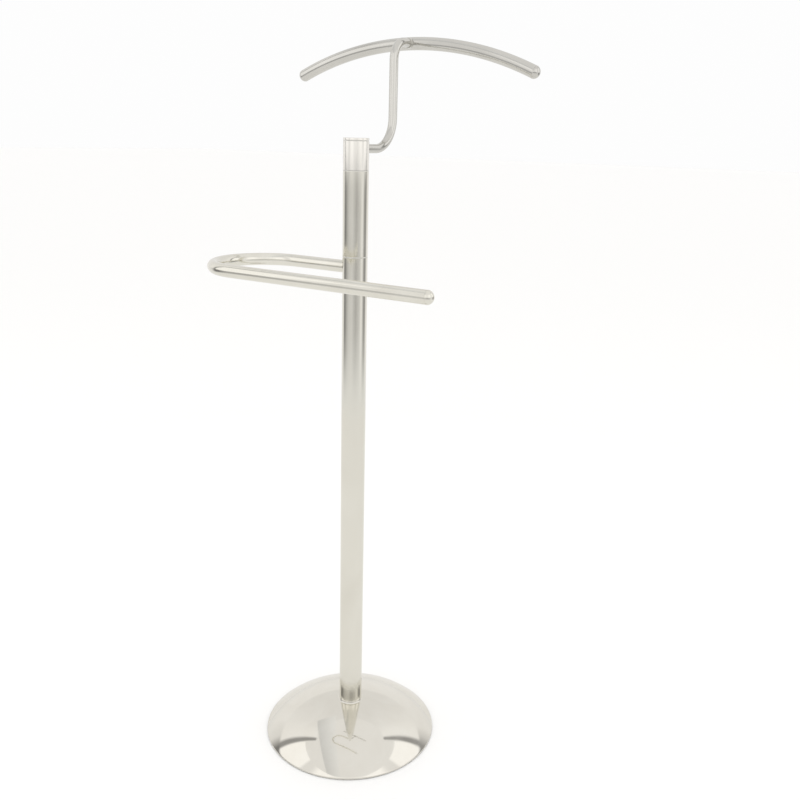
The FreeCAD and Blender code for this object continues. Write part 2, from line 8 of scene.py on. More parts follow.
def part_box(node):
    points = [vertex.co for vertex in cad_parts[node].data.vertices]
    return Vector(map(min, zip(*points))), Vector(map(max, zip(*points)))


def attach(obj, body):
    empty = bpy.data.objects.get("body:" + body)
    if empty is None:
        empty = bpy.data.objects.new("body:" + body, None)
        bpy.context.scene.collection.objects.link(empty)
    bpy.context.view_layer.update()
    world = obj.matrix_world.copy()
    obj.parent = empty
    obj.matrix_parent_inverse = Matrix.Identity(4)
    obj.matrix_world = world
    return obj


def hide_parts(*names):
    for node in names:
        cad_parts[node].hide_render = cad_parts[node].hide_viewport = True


# Looks of the valet stand. Metres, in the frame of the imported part: origin on the floor at the
# centre of the base, +Z up, the trouser rail in front of the column (-Y), the hanger behind it.

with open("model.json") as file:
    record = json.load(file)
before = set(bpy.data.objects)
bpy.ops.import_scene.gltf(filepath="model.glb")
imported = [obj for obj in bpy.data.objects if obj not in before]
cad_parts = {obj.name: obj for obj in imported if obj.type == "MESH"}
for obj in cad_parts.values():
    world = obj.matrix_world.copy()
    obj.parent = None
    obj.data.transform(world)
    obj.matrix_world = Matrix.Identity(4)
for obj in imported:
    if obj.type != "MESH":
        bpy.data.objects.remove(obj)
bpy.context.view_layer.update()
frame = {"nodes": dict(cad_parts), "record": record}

MM = 0.001
ROUND_STEPS = 192          # faces round a turned piece
TUBE_STEPS = 96            # faces round a bent tube
SUPPORT = 0.25 * MM        # how near a round a straight gets its support loop
SHARP = math.radians(35)   # edges that turn more than this stay sharp
ON_AXIS = 1e-7             # an outline's point nearer than this is on the axis
STEEL = 1.2 * MM           # thickness of the column's tubes and of the base cover

# ---------------------------------------------------------------- outlines


def corner_round(before, corner, after, radius, steps=6):
    """The arc that rounds one corner of an outline, as points."""
    corner = Vector(corner)
    towards = (Vector(before) - corner).normalized()
    away = (Vector(after) - corner).normalized()
    half = towards.angle(away) / 2
    reach = radius / math.tan(half)
    start = corner + towards * reach
    end = corner + away * reach
    centre = corner + (towards + away).normalized() * (radius / math.sin(half))
    points = []
    for step in range(steps + 1):
        share = step / steps
        chord = start.lerp(end, share) - centre
        points.append(tuple(centre + chord.normalized() * radius))
    return points


def rounded(outline, radii):
    """A closed outline whose corners are rounded by the radii, given in the corners' order."""
    points = []
    count = len(outline)
    for place, (corner, radius) in enumerate(zip(outline, radii)):
        if radius:
            points += corner_round(outline[place - 1], corner, outline[(place + 1) % count], radius)
        else:
            points.append(tuple(corner))
    return points


def arc(centre, radius, first, last, steps):
    """Points of an arc, from one angle to another, in degrees from +radius towards +height."""
    points = []
    for step in range(steps + 1):
        angle = math.radians(first + (last - first) * step / steps)
        points.append((centre[0] + radius * math.cos(angle), centre[1] + radius * math.sin(angle)))
    return points


def supported(points, closed=True):
    """Add a point near both ends of each long straight, so that smooth shading stays flat on it."""
    result = []
    count = len(points) if closed else len(points) - 1
    for place in range(count):
        start = Vector(points[place])
        end = Vector(points[(place + 1) % len(points)])
        result.append(tuple(start))
        length = (end - start).length
        if length > 6 * SUPPORT:
            step = (end - start) * (SUPPORT / length)
            result.append(tuple(start + step))
            result.append(tuple(end - step))
    if not closed:
        result.append(tuple(points[-1]))
    return result


# ---------------------------------------------------------------- meshes


def finish_mesh(name, vertices, faces, along):
    """A smooth mesh object with sharp corners and the coordinates of its unbent stock."""
    mesh = bpy.data.meshes.new(name)
    mesh.from_pydata(vertices, [], faces)
    mesh.validate()
    attribute = mesh.attributes.new("stock", "FLOAT_VECTOR", "POINT")
    attribute.data.foreach_set("vector", [value for point in along for value in point])
    mesh.shade_smooth()
    mesh.set_sharp_from_angle(angle=SHARP)
    mesh.update()
    piece = bpy.data.objects.new(name, mesh)
    bpy.context.scene.collection.objects.link(piece)
    return piece


def lathe(name, points, closed=True):
    """Turn (radius, height) points about the Z axis. Points on the axis close the piece."""
    vertices = []
    rings = []
    for radius, height in points:
        if radius < ON_AXIS:
            rings.append([len(vertices)])
            vertices.append((0.0, 0.0, height))
            continue
        rings.append(list(range(len(vertices), len(vertices) + ROUND_STEPS)))
        for step in range(ROUND_STEPS):
            angle = 2 * math.pi * step / ROUND_STEPS
            vertices.append((radius * math.cos(angle), radius * math.sin(angle), height))
    faces = []
    pairs = list(zip(rings, rings[1:]))
    if closed and len(rings[0]) > 1 and len(rings[-1]) > 1:
        pairs.append((rings[-1], rings[0]))
    for low, high in pairs:
        if len(low) == 1 and len(high) == 1:
            continue
        for step in range(ROUND_STEPS):
            after = (step + 1) % ROUND_STEPS
            if len(low) == 1:
                faces.append((low[0], high[after], high[step]))
            elif len(high) == 1:
                faces.append((low[step], low[after], high[0]))
            else:
                faces.append((low[step], low[after], high[after], high[step]))
    return finish_mesh(name, vertices, faces, vertices)


class Route:
    """A tube's centre line in one plane: straight runs and tangent arcs, walked step by step."""

    def __init__(self, start, heading, sideways):
        self.place = Vector(start)
        self.heading = Vector(heading).normalized()
        self.side = Vector(sideways).normalized()
        self.length = 0.0
        self.stations = [(self.place.copy(), self.heading.copy(), self.side.copy(), 0.0)]

    def add(self):
        self.stations.append((self.place.copy(), self.heading.copy(), self.side.copy(), self.length))

    def run(self, distance):
        """Go straight on, with a station close to each end."""
        for step in (SUPPORT, distance - 2 * SUPPORT, SUPPORT):
            self.place = self.place + self.heading * step
            self.length += step
            self.add()
        return self

    def bend(self, radius, degrees, steps):
        """Turn towards the side, by an angle that may be negative."""
        sign = 1 if degrees > 0 else -1
        centre = self.place + self.side * radius * sign
        normal = self.heading.cross(self.side)
        turn = Matrix.Rotation(math.radians(degrees) / steps, 3, normal)
        for _ in range(steps):
            self.place = centre + turn @ (self.place - centre)
            self.heading = turn @ self.heading
            self.side = turn @ self.side
            self.length += radius * math.radians(abs(degrees)) / steps
            self.add()
        return self


def tube(name, route, radius, first=None, last=None):
    """Sweep a round section along a route. first and last reshape the points of the end rings."""
    vertices = []
    along = []
    for place, heading, side, length in route.stations:
        up = heading.cross(side)
        for step in range(TUBE_STEPS):
            angle = 2 * math.pi * step / TUBE_STEPS
            across = radius * math.cos(angle)
            over = radius * math.sin(angle)
            vertices.append(place + side * across + up * over)
            along.append((across, over, length))
    count = len(route.stations)
    for ring, reshape in ((0, first), (count - 1, last)):
        if reshape:
            for number in range(ring * TUBE_STEPS, (ring + 1) * TUBE_STEPS):
                vertices[number] = reshape(vertices[number])
    faces = []
    for ring in range(count - 1):
        for step in range(TUBE_STEPS):
            after = (step + 1) % TUBE_STEPS
            low = ring * TUBE_STEPS
            high = low + TUBE_STEPS
            faces.append((low + step, low + after, high + after, high + step))
    for ring, flip in ((0, True), (count - 1, False)):
        centre = len(vertices)
        vertices.append(route.stations[ring][0].copy())
        along.append((0.0, 0.0, route.stations[ring][3]))
        for step in range(TUBE_STEPS):
            first_point = ring * TUBE_STEPS + step
            second_point = ring * TUBE_STEPS + (step + 1) % TUBE_STEPS
            if flip:
                faces.append((centre, second_point, first_point))
            else:
                faces.append((centre, first_point, second_point))
    return finish_mesh(name, [tuple(point) for point in vertices], faces, along)


def put(piece, body, material, *nodes):
    """Give a finished piece its body, its material and the CAD nodes it stands for."""
    piece.data.materials.append(material)
    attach(piece, body)
    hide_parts(*nodes)
    return piece


# ---------------------------------------------------------------- materials


class Tree:
    """A node tree, with short ways to add nodes to it and to link them."""

    def __init__(self, tree):
        self.tree = tree

    def add(self, kind, **settings):
        node = self.tree.nodes.new(kind)
        for field, value in settings.items():
            setattr(node, field, value)
        return node

    def link(self, source, target):
        self.tree.links.new(source, target)

    def maths(self, operation, *values):
        """The result of a Math node on numbers and other nodes' outputs."""
        node = self.add("ShaderNodeMath", operation=operation)
        for socket, value in zip(node.inputs, values):
            if isinstance(value, float):
                socket.default_value = value
            else:
                self.link(value, socket)
        return node.outputs["Value"]

    def spread(self, value, low, high, start=0.3, end=0.7, smooth=False):
        """Map a value's range from start to end onto low to high."""
        node = self.add("ShaderNodeMapRange")
        if smooth:
            node.interpolation_type = "SMOOTHSTEP"
        node.inputs["From Min"].default_value = start
        node.inputs["From Max"].default_value = end
        node.inputs["To Min"].default_value = low
        node.inputs["To Max"].default_value = high
        self.link(value, node.inputs["Value"])
        return node.outputs["Result"]


class Nodes(Tree):
    """A material's own tree, built round its Principled shader."""

    def __init__(self, name, metallic, roughness):
        self.material = bpy.data.materials.new(name)
        self.material.use_nodes = True
        super().__init__(self.material.node_tree)
        self.shader = self.tree.nodes["Principled BSDF"]
        self.shader.inputs["Metallic"].default_value = metallic
        self.shader.inputs["Roughness"].default_value = roughness

    def coordinates(self, source, scale):
        """Object or stock coordinates, stretched by a scale for each axis."""
        if source == "stock":
            output = self.add("ShaderNodeAttribute", attribute_name="stock").outputs["Vector"]
        else:
            output = self.add("ShaderNodeTexCoord").outputs["Object"]
        mapping = self.add("ShaderNodeMapping")
        mapping.inputs["Scale"].default_value = scale
        self.link(output, mapping.inputs["Vector"])
        return mapping.outputs["Vector"]

    def noise(self, vector, detail=4.0, roughness=0.55, distortion=0.0):
        node = self.add("ShaderNodeTexNoise")
        node.inputs["Scale"].default_value = 1.0
        node.inputs["Detail"].default_value = detail
        node.inputs["Roughness"].default_value = roughness
        node.inputs["Distortion"].default_value = distortion
        self.link(vector, node.inputs["Vector"])
        return node.outputs["Fac"]

    def blend_colours(self, share, low, high):
        node = self.add("ShaderNodeMix", data_type="RGBA")
        node.inputs["A"].default_value = (*low, 1.0)
        node.inputs["B"].default_value = (*high, 1.0)
        self.link(share, node.inputs["Factor"])
        self.link(node.outputs["Result"], self.shader.inputs["Base Color"])

    def bump(self, height, strength, distance, below=None):
        node = self.add("ShaderNodeBump")
        node.inputs["Strength"].default_value = strength
        node.inputs["Distance"].default_value = distance
        self.link(height, node.inputs["Height"])
        if below:
            self.link(below, node.inputs["Normal"])
        self.link(node.outputs["Normal"], self.shader.inputs["Normal"])
        return node.outputs["Normal"]


def polished_steel(name, dark, light, smooth=0.07, worn=0.15):
    """Drawn tube, polished lengthwise: long faint lines, soft wipe marks and a slight ripple."""
    nodes = Nodes(name, 1.0, smooth)
    lines = nodes.noise(nodes.coordinates("stock", (900, 900, 5)), 5.0, 0.6)
    hair = nodes.noise(nodes.coordinates("stock", (4200, 4200, 16)), 3.0, 0.5)
    wipes = nodes.noise(nodes.coordinates("object", (9, 9, 5)), 4.0, 0.6, 0.7)
    ripple = nodes.noise(nodes.coordinates("stock", (22, 22, 3)), 2.0, 0.4)
    fine = nodes.spread(lines, smooth, worn)
    haze = nodes.spread(wipes, 0.0, 0.07, 0.45, 0.75)
    nodes.link(nodes.maths("ADD", fine, haze), nodes.shader.inputs["Roughness"])
    nodes.blend_colours(nodes.spread(wipes, 0.0, 1.0), dark, light)
    normal = nodes.bump(ripple, 0.10, 0.6 * MM)
    nodes.bump(hair, 0.05, 0.02 * MM, normal)
    return nodes.material


def spun_mirror(name, dark, light):
    """Spun and buffed sheet: rings from the lathe, faint swirls and a slow ripple."""
    nodes = Nodes(name, 1.0, 0.05)
    flat = nodes.coordinates("object", (1, 1, 0))
    length = nodes.add("ShaderNodeVectorMath", operation="LENGTH")
    nodes.link(flat, length.inputs[0])
    ring_place = nodes.add("ShaderNodeCombineXYZ")
    nodes.link(nodes.maths("MULTIPLY", length.outputs["Value"], 1400.0), ring_place.inputs["X"])
    rings = nodes.noise(ring_place.outputs["Vector"], 4.0, 0.6)
    swirls = nodes.noise(nodes.coordinates("object", (14, 14, 14)), 5.0, 0.6, 1.2)
    ripple = nodes.noise(nodes.coordinates("object", (11, 11, 11)), 2.0, 0.4)
    fine = nodes.spread(rings, 0.035, 0.075)
    haze = nodes.spread(swirls, 0.0, 0.06, 0.5, 0.8)
    nodes.link(nodes.maths("ADD", fine, haze), nodes.shader.inputs["Roughness"])
    nodes.blend_colours(nodes.spread(swirls, 0.0, 1.0), dark, light)
    normal = nodes.bump(ripple, 0.12, 1.0 * MM)
    nodes.bump(rings, 0.03, 0.02 * MM, normal)
    return nodes.material


def floor_rubber(name):
    """Moulded rubber with a fine grain and a dusty bloom."""
    nodes = Nodes(name, 0.0, 0.75)
    grain = nodes.noise(nodes.coordinates("object", (1600, 1600, 1600)), 3.0)
    bloom = nodes.noise(nodes.coordinates("object", (30, 30, 30)), 4.0)
    nodes.link(nodes.spread(bloom, 0.62, 0.88), nodes.shader.inputs["Roughness"])
    nodes.blend_colours(nodes.spread(bloom, 0.0, 1.0), (0.018, 0.018, 0.018), (0.045, 0.044, 0.042))
    nodes.bump(grain, 0.35, 0.15 * MM)
    return nodes.material


def turned_metal(name, dark, light, rough):
    """A machined or plated inner part: tool rings across its axis and patchy tone."""
    nodes = Nodes(name, 1.0, rough)
    rings = nodes.noise(nodes.coordinates("object", (40, 40, 2600)), 4.0)
    patches = nodes.noise(nodes.coordinates("object", (60, 60, 60)), 4.0)
    nodes.link(nodes.spread(rings, rough * 0.7, rough * 1.3), nodes.shader.inputs["Roughness"])
    nodes.blend_colours(nodes.spread(patches, 0.0, 1.0), dark, light)
    nodes.bump(rings, 0.25, 0.05 * MM)
    return nodes.material


def cast_surface(name):
    """Sand-cast iron under a thin black paint."""
    nodes = Nodes(name, 0.6, 0.7)
    sand = nodes.noise(nodes.coordinates("object", (700, 700, 700)), 6.0, 0.65)
    lumps = nodes.noise(nodes.coordinates("object", (90, 90, 90)), 3.0)
    nodes.link(nodes.spread(sand, 0.55, 0.85), nodes.shader.inputs["Roughness"])
    nodes.blend_colours(nodes.spread(lumps, 0.0, 1.0), (0.05, 0.05, 0.05), (0.12, 0.115, 0.11))
    nodes.bump(sand, 0.5, 0.3 * MM)
    return nodes.material


def swivel_plastic(name):
    """Natural white nylon with light turning marks."""
    nodes = Nodes(name, 0.0, 0.42)
    marks = nodes.noise(nodes.coordinates("object", (300, 300, 1800)), 4.0)
    nodes.link(nodes.spread(marks, 0.34, 0.52), nodes.shader.inputs["Roughness"])
    nodes.blend_colours(nodes.spread(marks, 0.0, 1.0), (0.60, 0.59, 0.56), (0.70, 0.69, 0.65))
    nodes.bump(marks, 0.2, 0.04 * MM)
    return nodes.material


tube_steel = polished_steel("polished_tube_steel", (0.745, 0.725, 0.655), (0.81, 0.795, 0.73))
# The hanger's steel is a darker copy of the tube steel: painted shade, standing in for the dark
# reflections that the arm, its collars and the shoulder bar show.
shaded_hanger_steel = polished_steel("polished_hanger_steel_painted_shade", (0.60, 0.59, 0.555), (0.68, 0.67, 0.635))
# The column's head, its cap and the hanger's sleeve, gets a rougher copy of the tube steel whose
# lighter colour is painted light, for the brighter light that the head shows.
lit_head_steel = polished_steel("polished_head_steel_painted_light", (0.83, 0.81, 0.76), (0.89, 0.87, 0.83), 0.10, 0.18)
dome_steel = spun_mirror("spun_mirror_steel", (0.765, 0.74, 0.675), (0.80, 0.78, 0.72))
MATERIALS = {
    "polished_steel": tube_steel,
    "mirror_dome": dome_steel,
    "floor_rubber": floor_rubber("moulded_rubber"),
    "plated_steel": turned_metal("zinc_plate", (0.50, 0.51, 0.50), (0.66, 0.66, 0.63), 0.32),
    "ballast_iron": cast_surface("painted_cast_iron"),
    "turned_aluminium": turned_metal("turned_aluminium", (0.62, 0.62, 0.63), (0.74, 0.74, 0.75), 0.28),
    "swivel_plastic": swivel_plastic("white_nylon"),
    "axle_brass": turned_metal("turned_brass", (0.55, 0.41, 0.17), (0.70, 0.55, 0.27), 0.25),
}


def dress_cad_nodes():
    """Every CAD node that stays gets the detailed material of its slot."""
    for part in frame["record"]["subparts"]:
        node = frame["nodes"][part["node"]]
        node.data.materials.clear()
        node.data.materials.append(MATERIALS[part["material_slot"]])


# ---------------------------------------------------------------- the stand


def radius_of(node):
    """Half the width of a round node that stands on the column's axis."""
    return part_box(node)[1].x


def cross_tube(node):
    """Where the axis of a tube that lies crosswise is, front to back, and the tube's radius."""
    low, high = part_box(node)
    return (high.y + low.y) / 2, (high.y - low.y) / 2


def make_dome():
    """The base cover: hem, rounded rim, shoulder, crown and neck, and its inner side."""
    low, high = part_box("base_cover")
    rim = high.x
    column = radius_of("lower_tube")
    lip = 0.5 * MM
    rim_round = 2.6 * MM
    shoulder = 185 * MM
    crown = 265 * MM
    crown_edge = 83 * MM
    neck_round = 3 * MM
    hem_top = low.z + 0.7 * MM
    crown_slope = math.asin(crown_edge / crown)
    shoulder_x = crown_edge - shoulder * math.sin(crown_slope)
    rim_x = rim - rim_round
    rim_slope = math.asin((rim_x - shoulder_x) / (shoulder - rim_round))
    shoulder_z = hem_top - (shoulder - rim_round) * math.cos(rim_slope)
    crown_z = shoulder_z + (shoulder - crown) * math.cos(crown_slope)
    neck_x = column + neck_round
    neck_z = crown_z + math.sqrt((crown + neck_round) ** 2 - neck_x ** 2)
    rim_end = 90 - math.degrees(rim_slope)
    shoulder_end = 90 - math.degrees(crown_slope)
    meet = math.degrees(math.acos(neck_x / (crown + neck_round)))

    points = arc((rim - STEEL / 2, low.z + STEEL / 2), STEEL / 2, -180, 0, 12)
    points += arc((rim_x, hem_top), rim_round, 0, rim_end, 10)
    points += arc((shoulder_x, shoulder_z), shoulder, rim_end, shoulder_end, 56)[1:]
    points += arc((0, crown_z), crown, shoulder_end, meet, 44)[1:]
    points += arc((neck_x, neck_z), neck_round, meet + 180, 180, 12)[1:]
    points += [(column, high.z - lip), (column - lip, high.z), (column - STEEL, high.z)]
    points += arc((neck_x, neck_z), neck_round + STEEL, 180, meet + 180, 12)
    points += arc((0, crown_z), crown - STEEL, meet, shoulder_end, 40)[1:]
    points += arc((shoulder_x, shoulder_z), shoulder - STEEL, shoulder_end, rim_end, 40)[1:]
    points += arc((rim_x, hem_top), rim_round - STEEL, rim_end, 0, 8)[1:]
    piece = lathe("polished_dome", points)
    return put(piece, "stand", dome_steel, "base_cover")


def make_pad():
    """The rubber sheet under the base, with moulded rings on its underside."""
    low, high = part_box("base_pad")
    radius = high.x
    grooves = 8
    pitch = radius / (grooves + 1.5)
    depth = 0.7 * MM
    mouth = 1.6 * MM       # half a groove's width at the floor
    root = 1.12 * MM       # half its width at its deepest
    lip = 0.8 * MM
    points = [(0, low.z)]
    for number in range(1, grooves + 1):
        middle = pitch * number
        points += [(middle - mouth, low.z), (middle - root, low.z + depth),
                   (middle + root, low.z + depth), (middle + mouth, low.z)]
    points += [(radius - lip, low.z), (radius, low.z + lip), (radius, high.z), (0, high.z)]
    return put(lathe("ribbed_pad", points, closed=False), "stand", MATERIALS["floor_rubber"],
               "base_pad")


def make_column_ring(name, node, body, material=tube_steel):
    """A tube of the column, closed all round, with its outer edges eased."""
    lip = 0.5 * MM
    low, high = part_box(node)
    outer = high.x
    inner = outer - STEEL
    outline = [(inner, low.z), (outer, low.z), (outer, high.z), (inner, high.z)]
    points = supported(rounded(outline, [0, lip, lip, 0]))
    return put(lathe(name, points), body, material, node)


def make_top_cap():
    """The flat cap that closes the column."""
    low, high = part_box("top_cap")
    radius = high.x
    seam_lip = 0.5 * MM
    top_lip = 0.8 * MM
    outline = [(0, low.z), (radius, low.z), (radius, high.z), (0, high.z)]
    points = supported(rounded(outline, [0, seam_lip, top_lip, 0]), closed=False)
    return put(lathe("column_cap", points, closed=False), "stand", lit_head_steel, "top_cap")


# ---------------------------------------------------------------- rail and hanger


def on_column(surface):
    """Reshape an end ring so that it lies on the column's surface."""
    def reshape(point):
        if abs(point.y) > abs(point.x):
            depth = math.sqrt(max(surface ** 2 - point.x ** 2, 0))
            return Vector((point.x, math.copysign(depth, point.y), point.z))
        depth = math.sqrt(max(surface ** 2 - point.y ** 2, 0))
        return Vector((math.copysign(depth, point.x), point.y, point.z))
    return reshape


def tip_outline(radius):
    """A domed tube cap: the spigot in the tube, a seam edge, a short land and the dome."""
    length = 8.6 * MM
    land = 0.8 * MM
    ease = 0.2 * MM
    spigot = radius - 1.25 * MM
    spigot_end = -6 * MM
    rise = length - land
    dome = (radius ** 2 + rise ** 2) / (2 * rise)
    rim_angle = math.degrees(math.asin((land - (length - dome)) / dome))
    start = [(0, spigot_end), (spigot, spigot_end), (spigot, 0), (radius - ease, 0), (radius, ease)]
    return start + arc((0, length - dome), dome, rim_angle, 90, 36)


def make_tip(name, body, material, node, seam, heading, radius):
    """A domed cap set at a tube's end, looking along its heading."""
    piece = lathe(name, tip_outline(radius), closed=False)
    turn = Vector((0, 0, 1)).rotation_difference(Vector(heading)).to_matrix().to_4x4()
    piece.data.transform(Matrix.Translation(seam) @ turn)
    return put(piece, body, material, node)


def make_rail():
    """The hairpin: back leg, half-turn, long front leg, and its domed tip."""
    low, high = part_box("trouser_rail")
    radius = (high.z - low.z) / 2
    height = (high.z + low.z) / 2
    front = low.y + radius
    bend = -front / 2
    corner = low.x + radius + bend
    column = radius_of("rail_sleeve")
    route = Route((-column, 0, height), (-1, 0, 0), (0, -1, 0))
    route.run(-column - corner)
    route.bend(bend, 180, 120)
    route.run(high.x - corner)
    rail = tube("hairpin_rail", route, radius, first=on_column(column))
    put(rail, "rail", tube_steel, "trouser_rail")
    make_tip("rail_tip", "rail", tube_steel, "rail_end_cap", (high.x, front, height), (1, 0, 0),
             radius)


def make_arm():
    """The arm: out of the column, up, and back to the shoulder bar."""
    low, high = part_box("hanger_arm")
    radius = high.x
    height = low.z + radius
    top = high.z - radius
    column = radius_of("hanger_sleeve")
    reach = 102 * MM
    lower_bend = 48 * MM
    upper_bend = 28 * MM
    let_in = 1.5 * MM      # how far the arm goes past the bar's foremost line
    bar_y, bar_radius = cross_tube("shoulder_bar")
    route = Route((0, column, height), (0, 1, 0), (0, 0, 1))
    route.run(reach - lower_bend - column)
    route.bend(lower_bend, 90, 48)
    route.run(top - height - lower_bend - upper_bend)
    route.bend(upper_bend, -90, 48)
    route.run(bar_y - bar_radius - reach - upper_bend + let_in)
    arm = tube("bent_arm", route, radius, first=on_column(column))
    put(arm, "hanger", shaded_hanger_steel, "hanger_arm")


def make_collar(name, node, seat):
    """A small turned collar on the arm, flat on its outer face and saddled on the other."""
    low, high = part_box(node)
    radius = (high.x - low.x) / 2
    height = (high.z + low.z) / 2
    bore_share = 0.8
    inner = radius * bore_share
    outline = [(inner, low.y), (radius, low.y), (radius, high.y), (inner, high.y)]
    ease = 0.5 * MM
    piece = lathe(name, supported(rounded(outline, [0, ease, ease, 0])))
    turn = Matrix.Rotation(math.radians(-90), 4, "X")
    piece.data.transform(Matrix.Translation((0, 0, height)) @ turn)
    for vertex in piece.data.vertices:
        vertex.co = seat(vertex.co)
    return put(piece, "hanger", shaded_hanger_steel, node)


def make_collars():
    """The collars at both ends of the arm, shaped to the tubes that they sit on."""
    column = radius_of("hanger_sleeve")
    bar_y, bar_radius = cross_tube("shoulder_bar")
    arm_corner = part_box("hanger_arm")[1]
    bar_z = arm_corner.z - arm_corner.x

    def on_the_column(point):
        least = math.sqrt(column ** 2 - point.x ** 2)
        return Vector((point.x, max(point.y, least), point.z))

    def on_the_bar_front(point):
        most = bar_y - math.sqrt(bar_radius ** 2 - (point.z - bar_z) ** 2)
        return Vector((point.x, min(point.y, most), point.z))

    def on_the_bar_back(point):
        least = bar_y + math.sqrt(bar_radius ** 2 - (point.z - bar_z) ** 2)
        return Vector((point.x, max(point.y, least), point.z))

    make_collar("arm_foot_collar", "arm_lower_collar", on_the_column)
    make_collar("arm_head_collar", "arm_upper_collar", on_the_bar_front)
    make_collar("bar_saddle", "shoulder_bar_washer", on_the_bar_back)


def make_shoulder_bar():
    """The arched bar and its two domed tips."""
    distance, radius = cross_tube("shoulder_bar")
    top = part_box("shoulder_bar")[1].z - radius
    arch = 540 * MM
    half_span = 218 * MM
    half_angle = math.asin(half_span / arch)
    level = top - arch + arch * math.cos(half_angle)
    start = Vector((-half_span, distance, level))
    heading = Vector((math.cos(half_angle), 0, math.sin(half_angle)))
    side = Vector((math.sin(half_angle), 0, -math.cos(half_angle)))
    route = Route(start, heading, side)
    route.bend(arch, math.degrees(2 * half_angle), 96)
    bar = tube("shoulder_arch", route, radius)
    put(bar, "hanger", shaded_hanger_steel, "shoulder_bar")
    for sign, name, node in ((-1, "left_bar_tip", "left_shoulder_cap"),
                             (1, "right_bar_tip", "right_shoulder_cap")):
        outward = (sign * math.cos(half_angle), 0, -math.sin(half_angle))
        make_tip(name, "hanger", shaded_hanger_steel, node, (sign * half_span, distance, level), outward,
                 radius)


def make_pieces():
    """Every piece of the stand, from the floor up."""
    dress_cad_nodes()
    make_dome()
    make_pad()
    make_column_ring("lower_column", "lower_tube", "stand")
    make_column_ring("middle_column", "middle_tube", "stand")
    make_column_ring("rail_ring", "rail_sleeve", "rail")
    make_column_ring("hanger_ring", "hanger_sleeve", "hanger", lit_head_steel)
    make_top_cap()
    make_rail()
    make_arm()
    make_collars()
    make_shoulder_bar()


# ---------------------------------------------------------------- studio

TOWARDS_CAMERA = math.radians(-55.2)   # where the camera stands, round from +X
PALE = (0.93, 0.925, 0.915)
PALE_IN_METAL = (0.82, 0.81, 0.79)     # the floor as the polished metal shows it
WARMTH = 0.012                         # how far the greys lean to red and away from blue
PAPER = 0.985                          # the background that the camera sees
FILL = 1.08                            # strength of the white light on matt surfaces


def new_mesh(name, vertices, faces):
    """A staged mesh object: part of the studio, not of the stand."""
    mesh = bpy.data.meshes.new(name)
    mesh.from_pydata(vertices, [], faces)
    thing = bpy.data.objects.new(name, mesh)
    bpy.context.scene.collection.objects.link(thing)
    return thing


def only_reflected(thing):
    """Let a studio card show in polished metal and nowhere else."""
    thing.visible_camera = False
    thing.visible_diffuse = False
    thing.visible_shadow = False
    thing.visible_transmission = False


def glowing(name, strength):
    """A plain emission material, its tree and its glow."""
    material = bpy.data.materials.new(name)
    material.use_nodes = True
    tree = Tree(material.node_tree)
    material.node_tree.nodes.clear()
    glow = tree.add("ShaderNodeEmission")
    glow.inputs["Strength"].default_value = strength
    output = tree.add("ShaderNodeOutputMaterial")
    tree.link(glow.outputs["Emission"], output.inputs["Surface"])
    return material, tree, glow


def warm(grey):
    """A grey a trace warmer than neutral, as a colour."""
    return (grey * (1 + WARMTH), grey, grey * (1 - WARMTH), 1)


def fill_ramp(ramp, stops):
    """Set a colour ramp from (place, grey) stops."""
    elements = ramp.color_ramp.elements
    while len(elements) < len(stops):
        elements.new(1.0)
    for element, (place, grey) in zip(elements, stops):
        element.position = place
        element.color = warm(grey)


def make_floor():
    """A plain pale floor that runs far past the view."""
    half = 40.0
    floor = new_mesh("studio_floor", [(-half, -half, 0), (half, -half, 0), (half, half, 0),
                                      (-half, half, 0)], [(0, 1, 2, 3)])
    nodes = Nodes("pale_floor", 0.0, 0.7)
    ray = nodes.add("ShaderNodeLightPath")
    nodes.blend_colours(ray.outputs["Is Glossy Ray"], PALE, PALE_IN_METAL)
    floor.data.materials.append(nodes.material)


# Tones of the room by the angle round from the camera's side, in degrees: level with the column,
# where left and right differ, and higher up, where they are alike.
LOW_TONES = (
    (-180, 0.95), (-135, 0.95), (-119, 0.85), (-108, 0.24), (-96, 0.26), (-80, 0.46), (-55, 0.68),
    (-25, 0.73), (-5, 0.58), (8, 0.50), (20, 0.56), (45, 0.70), (56, 0.88), (68, 0.95), (76, 0.74),
    (86, 0.40), (98, 0.34), (108, 0.36), (118, 0.75), (126, 0.92), (180, 0.95))
HIGH_TONES = (
    (0, 1.00), (18, 1.05), (30, 1.18), (48, 1.18), (58, 0.92), (69, 0.90), (73, 1.16), (104, 1.16),
    (106.5, 0.36), (110.5, 0.36), (114, 1.00), (124, 0.98), (136, 0.92), (160, 0.86), (180, 0.86))
HIGH_START = 0.86                      # heights between which low tones give way to high ones
HIGH_END = 1.00
SKIRTING = (0.71, 0.71, 0.705, 1)      # colour at the wall's foot, gone at the next height
SKIRTING_TOP = 0.35
BRIGHTEST = 1.25                       # what a ramp's full white stands for
WALL_RADIUS = 2.0
PANEL_EDGE = 104                       # the soft panels end here, with dark gaps beyond
PANEL_TOP = 2.55
WALL_TOP = 3.7
CEILING = 0.92                         # tone of the ceiling
STRIP_SHADE = 0.72                     # tone of its strip's far edge
STRIP_HEIGHT = 2.6
STRIP_LEFT = -1.2
STRIP_RIGHT = -0.5
STRIP_BACK = -1.6
STRIP_FRONT = 2.2
LAMP_HEIGHT = 2.6
LAMP_SIZE = (2.0, 1.5)
LAMP_GLOW = 0.35
LAMP_COLOUR = (1.0, 0.965, 0.91)


def wall_top(angle):
    """Height of the wall at an angle from the camera's side: the panels are lower."""
    if abs(angle) > PANEL_EDGE:
        return WALL_TOP
    return PANEL_TOP


